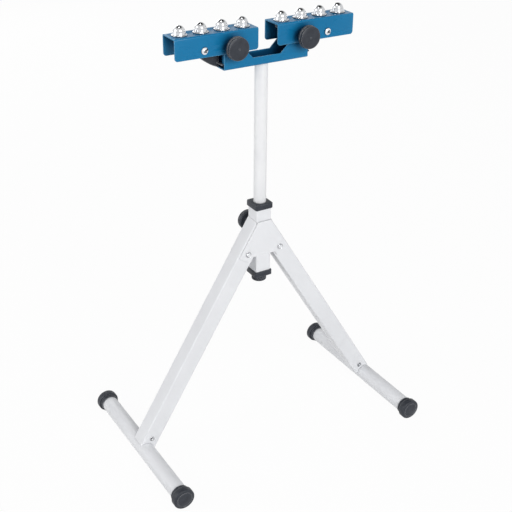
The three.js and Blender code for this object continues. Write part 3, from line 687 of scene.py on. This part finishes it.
# Legs and feet
def make_leg(word, side):
    """A box tube from pin to foot, cut clear of the post open and part folded, and coped round the foot."""
    pin_x, _, pin_z = middle(f"{word}_leg_pivot_pin")
    cap = f"{word}_front_foot_cap"
    foot_x = middle(cap)[0]
    foot_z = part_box(cap)[1][2] - half_width(cap)
    run = Vector((foot_x - pin_x, 0, foot_z - pin_z))
    angle = math.atan2(abs(run.x), -run.z)
    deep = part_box(f"{word}_leg_tube")[1][1]
    leg = box_tube(f"{word}_leg", LEG_HALF_WIDTH, deep, LEG_END_SETBACK - run.length, LEG_TOP_REACH)
    at_pin = Matrix.Translation((pin_x, 0, pin_z))
    leg.data.transform(at_pin @ Matrix.Rotation(-side * angle, 4, "Y"))
    post_side = half_width("post_tube") + 2 * SEAT_GAP - abs(pin_x)
    behind = [(-FAR, -FAR), (post_side, -FAR), (post_side, FAR), (-FAR, FAR)]
    walls = []
    for share in (0, LEG_RELIEF_SHARE):
        wall = prism("wall", [(side * x, z) for x, z in behind], -BEYOND, BEYOND)
        wall.data.transform(at_pin @ Matrix.Rotation(-side * angle * share, 4, "Y"))
        walls.append(wall)
    cope = rod("cope", FOOT_RADIUS + SEAT_GAP, -BEYOND, BEYOND, (foot_x, 0, foot_z))
    carve(leg, *walls, cope)
    for node in (f"{word}_leg_pivot_pin", f"{word}_foot_bolt"):
        drill(leg, node, PIN_SHANK_SHARE * half_width(node))
    dress(shade(leg), f"{word}_leg_tube")
    make_foot(word, foot_x, foot_z)


def make_foot(word, x, z):
    node = f"{word}_foot_tube"
    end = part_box(node)[1][1]
    tube = round_tube(f"{word}_foot", FOOT_RADIUS, FOOT_RADIUS - TUBE_WALL, -end, end, (x, 0, z), "Y")
    dress(tube, node)
    make_foot_cap(f"{word}_front_foot_cap", f"{word}_front_cap", (x, -end, z), "-Y")
    make_foot_cap(f"{word}_rear_foot_cap", f"{word}_rear_cap", (x, end, z), "Y")
    make_foot_bolt(f"{word}_foot_bolt", f"{word}_foot_screw")


def make_foot_cap(node, name, at, axis):
    """A plastic cap: a short sleeve, a groove and a crowned disc with a moulded ring, cut flat below."""
    low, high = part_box(node)
    big = half_width(node)
    crown = max(abs(low[1]), abs(high[1])) - abs(at[1])
    length = high[1] - low[1]
    foot = crown - length
    bore = FOOT_RADIUS + CAP_GAP
    sleeve = FOOT_RADIUS + CAP_WALL
    neck = sleeve - CAP_GROOVE_DEPTH
    ring_outside, ring_floor, ring_inside = (
        (share * big, crown - depth) for share, depth in zip(CAP_RING_SHARES, CAP_RING_DEPTHS))
    outside = open_outline([
        (bore, foot), (sleeve, foot, 0.8 * MM), (sleeve, CAP_GROOVE_START, 0.6 * MM),
        (neck, CAP_GROOVE_FLOOR, 0.3 * MM), (neck, 0, 0.3 * MM), (big, CAP_DISC_START, 1.8 * MM),
        (big, crown - CAP_DISC_EDGE, 3.2 * MM), (*ring_outside, 0.8 * MM), (*ring_floor, 0.5 * MM),
        (*ring_inside, 0.8 * MM), (CAP_CROWN_SHARE * big, crown, 6 * MM), (0, crown)], steps=6)
    inside = [(0, CAP_FLOOR), (bore, CAP_FLOOR), (bore, foot)]
    cap = revolve(name, [*outside, *inside], at, axis, angle=40)
    for vertex in cap.data.vertices:
        vertex.co.z = max(vertex.co.z, 0)
    dress(cap, node)


def make_foot_bolt(node, name):
    """A low crowned head in a raised washer at each face of the leg."""
    x, _, z = middle(node)
    radius = half_width(node)
    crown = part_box(node)[1][1]
    face = crown - FOOT_BOLT_HEIGHT
    groove = face + HEAD_GROOVE_FLOOR
    washer = face + WASHER_HEIGHT
    dome, dome_foot = (share * radius for share in FOOT_BOLT_DOME_SHARES)
    washer_foot, washer_bore = (share * radius for share in WASHER_SHARES)
    head = open_outline([
        (0, crown), (dome, crown - HEAD_DOME_DROP, 0.4 * MM), (dome_foot, groove, HEAD_GROOVE_CORNER),
        (washer_foot, groove, HEAD_GROOVE_CORNER), (washer_bore, washer, 0.2 * MM),
        (radius, washer, 0.3 * MM), (radius, face), (PIN_SHANK_SHARE * radius, face)], steps=4)
    dress(both_ends(name, head, x, z), node, "screw_zinc_shaded")


# Pole and its clamp
def make_pole():
    low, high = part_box("pole_tube")
    radius = high[0]
    bore = radius - POLE_WALL
    dress(round_tube("pole", radius, bore, low[2], high[2]), "pole_tube")
    make_plug(bore - SEAT_GAP, low[2] - SEAT_GAP)
    low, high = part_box("pole_top_insert")
    hole = INSERT_HOLE_RADIUS
    wall = [(hole, low[2]), (high[0], low[2]), (high[0], high[2]), (hole, high[2])]
    dress(ring("pole_insert", wall), "pole_top_insert")


def make_plug(spigot, neck_top):
    """A plastic plug: a rounded disc, a narrower neck and a spigot in the pole's bore."""
    low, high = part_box("pole_end_plug")
    big, foot = high[0], low[2]
    neck = PLUG_NECK_SHARE * big
    step = foot + PLUG_DISC_HEIGHT
    plug = open_outline([
        (0, foot), (big, foot, 2.4 * MM), (big, step, 1.4 * MM), (neck, step, 0.6 * MM),
        (neck, neck_top, 0.5 * MM), (spigot, neck_top), (spigot, high[2], 1 * MM), (0, high[2])], steps=5)
    dress(revolve("pole_plug", plug), "pole_end_plug")


def knob(name, node, axis):
    """A round moulded knob: a flared hub, a grooved rim and a nearly flat face with a small moulded pip."""
    low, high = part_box(node)
    x, _, z = middle(node)
    start = high[1] if axis == "-Y" else low[1]
    length = high[1] - low[1]
    big = half_width(node)
    socket = SCREW_RADIUS + SEAT_GAP
    back = length - KNOB_HEAD_DEPTH
    groove_start = length - KNOB_GROOVE_START
    groove_end = length - KNOB_GROOVE_END
    groove = big - KNOB_GROOVE_DEPTH
    brim = big - KNOB_BRIM_INSET
    face = length - KNOB_FACE_DEPTH
    pip_foot, pip = KNOB_PIP_RADII
    outside = open_outline([
        (socket, 0), (KNOB_HUB_RADIUS, 0, 1 * MM), (KNOB_NECK_RADIUS, back - KNOB_NECK_LENGTH, 3 * MM),
        (big - KNOB_BACK_INSET, back, 1.2 * MM), (big, back + KNOB_BACK_SLOPE, 1.5 * MM),
        (big, groove_start, 0.6 * MM), (groove, groove_start + KNOB_GROOVE_SLOPE, 0.3 * MM),
        (groove, groove_end - KNOB_GROOVE_SLOPE, 0.3 * MM), (brim, groove_end, 0.6 * MM),
        (brim - KNOB_BRIM_DRAFT, face - KNOB_FACE_EDGE, 0.9 * MM), (brim - KNOB_FACE_INSET, face, 1.2 * MM),
        (pip_foot, face + KNOB_PIP_FOOT, 0.5 * MM), (pip, length - KNOB_PIP_DROP, 0.5 * MM),
        (0, length)], steps=6)
    inside = [(0, KNOB_SOCKET_LENGTH), (socket, KNOB_SOCKET_LENGTH), (socket, 0)]
    return revolve(name, [*outside, *inside], (x, start, z), axis, KNOB_SEGMENTS, angle=50)


def make_pole_clamp():
    low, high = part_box("clamp_boss")
    x, _, z = middle("clamp_boss")
    radius = half_width("clamp_boss")
    bore = SCREW_RADIUS + SEAT_GAP
    boss = open_outline([
        (bore, low[1]), (radius, low[1]), (radius, high[1], BOSS_CORNER), (bore, high[1])], steps=4)
    dress(ring("clamp_nut", boss, (x, 0, z), "Y"), "clamp_boss")
    low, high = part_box("clamp_screw")
    dress(threaded("clamp_stud", low[1], high[1], x, z), "clamp_screw")
    dress(knob("pole_clamp_knob", "clamp_knob", "Y"), "clamp_knob")


def threaded(name, low, high, x, z):
    """A stud along Y with ridged thread rings."""
    root = SCREW_RADIUS - THREAD_DEPTH
    profile = [(0, low)]
    for k in range(int((high - low) / THREAD_PITCH)):
        start = low + k * THREAD_PITCH
        profile += [(root, start), (SCREW_RADIUS, start + THREAD_PITCH / 2)]
    return revolve(name, [*profile, (root, high), (0, high)], (x, 0, z), "Y", segments=32, angle=20)


# Head
def channel(name, node, opens_up):
    """A folded sheet channel along X, open at the top or the bottom."""
    low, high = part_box(node)
    half = high[1]
    web, lip, inward = (low[2], high[2], SHEET) if opens_up else (high[2], low[2], -SHEET)
    section = rounded([
        (-half, lip), (-half, web, SHEET_BEND), (half, web, SHEET_BEND), (half, lip), (half - SHEET, lip),
        (half - SHEET, web + inward, SHEET_BEND - SHEET), (SHEET - half, web + inward, SHEET_BEND - SHEET),
        (SHEET - half, lip)])
    return prism(name, section, low[0], high[0], "X")


def make_bracket():
    low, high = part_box("head_bracket")
    notch_z = low[2] + NOTCH_HEIGHT
    notch_top = NOTCH_HALF_WIDTH + high[2] - notch_z
    under = low[2] - BEYOND
    outline = rounded([
        (low[0], under), (high[0], under), (high[0], high[2], SHEET_CORNER),
        (notch_top, high[2], SHEET_CORNER), (NOTCH_HALF_WIDTH, notch_z, NOTCH_CORNER),
        (-NOTCH_HALF_WIDTH, notch_z, NOTCH_CORNER), (-notch_top, high[2], SHEET_CORNER),
        (low[0], high[2], SHEET_CORNER)])
    bracket = channel("bracket", "head_bracket", opens_up=True)
    carve(bracket, prism("outline", outline, -BEYOND, BEYOND), operation="INTERSECT")
    carve(bracket, *bracket_tabs(low, high), operation="UNION")
    for word, _ in SIDES:
        drill(bracket, f"{word}_clamp_bolt", SCREW_RADIUS)
    dress(soften(bracket, SHEET_EDGE), "head_bracket")
    make_head_bolt(low[2] + SHEET + SEAT_GAP)


def make_head_bolt(seat):
    """The hexagon head that holds the bracket on the pole."""
    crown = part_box("head_bolt")[1][2]
    bolt = prism("bracket_bolt", hexagon(half_width("head_bolt")), seat, crown, "Z")
    dress(soften(bolt, BOLT_CHAMFER, segments=3), "head_bolt")


def bracket_tabs(low, high):
    """Tabs folded in from both plates at each end."""
    tabs = []
    for _, side in SIDES:
        for _, plate in SIDES:
            x, y = side * high[0], plate * high[1]
            inner_x, inner_y = x - side * SHEET, y - plate * TAB_WIDTH
            in_plate = y - plate * SHEET / 2
            corners = [(inner_x, inner_y), (x, inner_y), (x, in_plate), (inner_x, in_plate)]
            tabs.append(prism("tab", corners, low[2] + TAB_LIFT, low[2] + TAB_LIFT + TAB_HEIGHT, "Z"))
    return tabs


def make_arm(word):
    node = f"{word}_arm_channel"
    low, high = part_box(node)
    above = high[2] + BEYOND
    outline = rounded([
        (low[0], low[2], SHEET_CORNER), (high[0], low[2], SHEET_CORNER),
        (high[0], above), (low[0], above)], steps=8)
    arm = channel(f"{word}_arm", node, opens_up=False)
    carve(arm, prism("outline", outline, -BEYOND, BEYOND), operation="INTERSECT")
    for i in BALLS:
        ball = f"{word}_ball_{i}"
        hole = half_width(ball) + CUP_HOLE_GAP
        at = (middle(ball)[0], 0, 0)
        carve(arm, rod("hole", hole, high[2] - 2 * SHEET, high[2] + SHEET, at, "Z"))
    drill(arm, f"{word}_clamp_bolt", SCREW_RADIUS)
    drill(arm, f"{word}_stop_screw", STOP_SHANK_SHARE * half_width(f"{word}_stop_screw"))
    dress(soften(arm, SHEET_EDGE), node)
    make_stop(word)
    make_arm_clamp(word)
    for i in BALLS:
        make_ball(word, i, high[2])


def make_stop(word):
    node = f"{word}_stop_block"
    dress(soften(from_cad(f"{word}_stop", node), STOP_EDGE, segments=3, limit=30), node)
    make_stop_screw(f"{word}_stop_screw", f"{word}_stop_bolt")


def make_stop_screw(node, name):
    """A pan head with a cross recess at each face of the arm."""
    x, _, z = middle(node)
    radius = half_width(node)
    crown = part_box(node)[1][1]
    face = crown - STOP_HEAD_HEIGHT
    head = open_outline([
        (0, crown), (STOP_CROWN_SHARE * radius, crown - STOP_CROWN_DROP, 3 * MM),
        (radius, face + STOP_HEAD_SIDE, 1.4 * MM), (radius, face),
        (STOP_SHANK_SHARE * radius, face)], steps=6)
    screw = both_ends(name, head, x, z)
    outline = rectangle(CROSS_HALF_LENGTH_SHARE * radius, CROSS_HALF_WIDTH_SHARE * radius,
                        CROSS_CORNER_SHARE * radius)
    slots = []
    for sign in (-1, 1):
        for turn in (math.pi / 4, -math.pi / 4):
            slot = prism("slot", outline, sign * (crown - CROSS_DEPTH), sign * (crown + BEYOND))
            slot.data.transform(Matrix.Translation((x, 0, z)) @ Matrix.Rotation(turn, 4, "Y"))
            slots.append(slot)
    dress(shade(carve(screw, *slots)), node, "screw_zinc_shaded")


def make_arm_clamp(word):
    """A knob in front and a hexagon head behind, whose shank passes through the arm and the bracket."""
    dress(knob(f"{word}_arm_knob", f"{word}_knob", "-Y"), f"{word}_knob")
    node = f"{word}_clamp_bolt"
    x, _, z = middle(f"{word}_knob")
    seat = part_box(f"{word}_arm_channel")[1][1] + SEAT_GAP
    low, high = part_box(node)
    bolt = prism(f"{word}_pivot_bolt", hexagon(half_width(node), x, z), seat, high[1])
    soften(bolt, BOLT_CHAMFER, segments=3)
    shank = rod("shank", SCREW_RADIUS, low[1], (seat + high[1]) / 2, (x, 0, z))
    dress(shade(carve(bolt, shank, operation="UNION")), node)


def make_ball(word, i, arm_top):
    """A chrome ball in a pressed cup, with its bearing race below."""
    cup, race, ball = (f"{word}_{part}_{i}" for part in ("ball_cup", "ball_race", "ball"))
    x, _, centre = middle(ball)
    low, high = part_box(ball)
    radius = (high[2] - low[2]) / 2
    turns = [math.pi * k / BALL_STEPS for k in range(BALL_STEPS + 1)]
    sphere = [(radius * math.sin(t), radius * math.cos(t)) for t in turns]
    dress(revolve(f"{word}_roller_{i}", sphere, (x, 0, centre)), ball)
    make_cup(cup, f"{word}_cup_{i}", radius, (x, 0, arm_top))
    dress(shade(from_cad(f"{word}_race_{i}", race)), race)


def make_cup(node, name, radius, at):
    """A pressed cup: a floor ring, a wall, a flange on the arm and a lip drawn in round the ball."""
    low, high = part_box(node)
    foot, lip = low[2] - at[2], high[2] - at[2]
    flange = half_width(node)
    flange_top = SEAT_GAP + FLANGE_THICKNESS
    bore = radius + BALL_GAP
    outer = bore + CUP_WALL
    floor_bore = bore - CUP_FLOOR_WIDTH
    floor_top = foot + CUP_WALL
    wall = open_outline([
        (floor_bore, foot), (outer, foot, 1.5 * MM), (outer, SEAT_GAP, 0.3 * MM),
        (flange, SEAT_GAP, 0.3 * MM), (flange, flange_top, 0.8 * MM),
        (outer, flange_top + FLANGE_RISE, 0.8 * MM),
        (bore + LIP_OUTSIDE, lip - LIP_HEIGHT, 0.4 * MM), (radius + LIP_GAP, lip), (bore, lip - LIP_DEPTH),
        (bore, floor_top), (floor_bore, floor_top)], steps=4)
    dress(ring(name, wall, at), node, "cup_zinc_shaded")


# Stage
def seen(tree):
    """1 for rays that show the background: camera, glossy and transmission rays."""
    path = tree.nodes.new("ShaderNodeLightPath")
    mirrored = combine(tree, "MAXIMUM", path.outputs["Is Camera Ray"], path.outputs["Is Glossy Ray"])
    return combine(tree, "MAXIMUM", mirrored, path.outputs["Is Transmission Ray"])


def make_floor():
    """A pale matte floor that keeps the shadow and shows as white."""
    bpy.ops.mesh.primitive_plane_add(size=FLOOR_SIZE, location=(0, 0, -FLOOR_DROP))
    floor = bpy.context.object
    floor.name = "floor"
    material = bpy.data.materials.new("floor")
    material.use_nodes = True
    tree = material.node_tree
    tree.nodes.clear()
    out = tree.nodes.new("ShaderNodeOutputMaterial")
    share = tree.nodes.new("ShaderNodeMixShader")
    matte = tree.nodes.new("ShaderNodeBsdfDiffuse")
    matte.inputs["Color"].default_value = (*FLOOR_GREY, 1)
    glow = tree.nodes.new("ShaderNodeEmission")
    tree.links.new(combine(tree, "MULTIPLY", seen(tree), FLOOR_GLOW), share.inputs["Fac"])
    tree.links.new(matte.outputs[0], share.inputs[1])
    tree.links.new(glow.outputs[0], share.inputs[2])
    tree.links.new(share.outputs[0], out.inputs["Surface"])
    floor.data.materials.append(material)


def make_world():
    """A white surround with a dark ceiling panel, dimmer as light than as background."""
    world = bpy.data.worlds.new("studio")
    bpy.context.scene.world = world
    world.use_nodes = True
    tree = world.node_tree
    back = tree.nodes["Background"]
    place = tree.nodes.new("ShaderNodeTexCoord")
    towards = tree.nodes.new("ShaderNodeVectorMath")
    towards.operation = "DOT_PRODUCT"
    towards.inputs[1].default_value = DARK_CEILING
    tree.links.new(place.outputs["Generated"], towards.inputs[0])
    tone = ramp(tree, towards.outputs["Value"], CEILING_FADE, (1.0, CEILING_TONE))
    tree.links.new(tone, back.inputs["Color"])
    level = tree.nodes.new("ShaderNodeMapRange")
    level.inputs["To Min"].default_value = WORLD_FOR_LIGHT
    level.inputs["To Max"].default_value = WORLD_FOR_VIEW
    tree.links.new(seen(tree), level.inputs["Value"])
    tree.links.new(level.outputs[0], back.inputs["Strength"])


def make_lamps():
    for name, place, size, power in LAMPS:
        data = bpy.data.lights.new(name, "AREA")
        data.size = size
        data.energy = power
        lamp = bpy.data.objects.new(name, data)
        lamp.location = place
        lamp.rotation_euler = (LAMP_AIM - Vector(place)).to_track_quat("-Z", "Y").to_euler()
        bpy.context.scene.collection.objects.link(lamp)


set_camera()
make_floor()
make_world()
make_lamps()
bpy.context.scene.view_settings.view_transform = "Standard"
make_post()
make_pole()
make_pole_clamp()
make_bracket()
for word, side in SIDES:
    make_leg(word, side)
    make_arm(word)
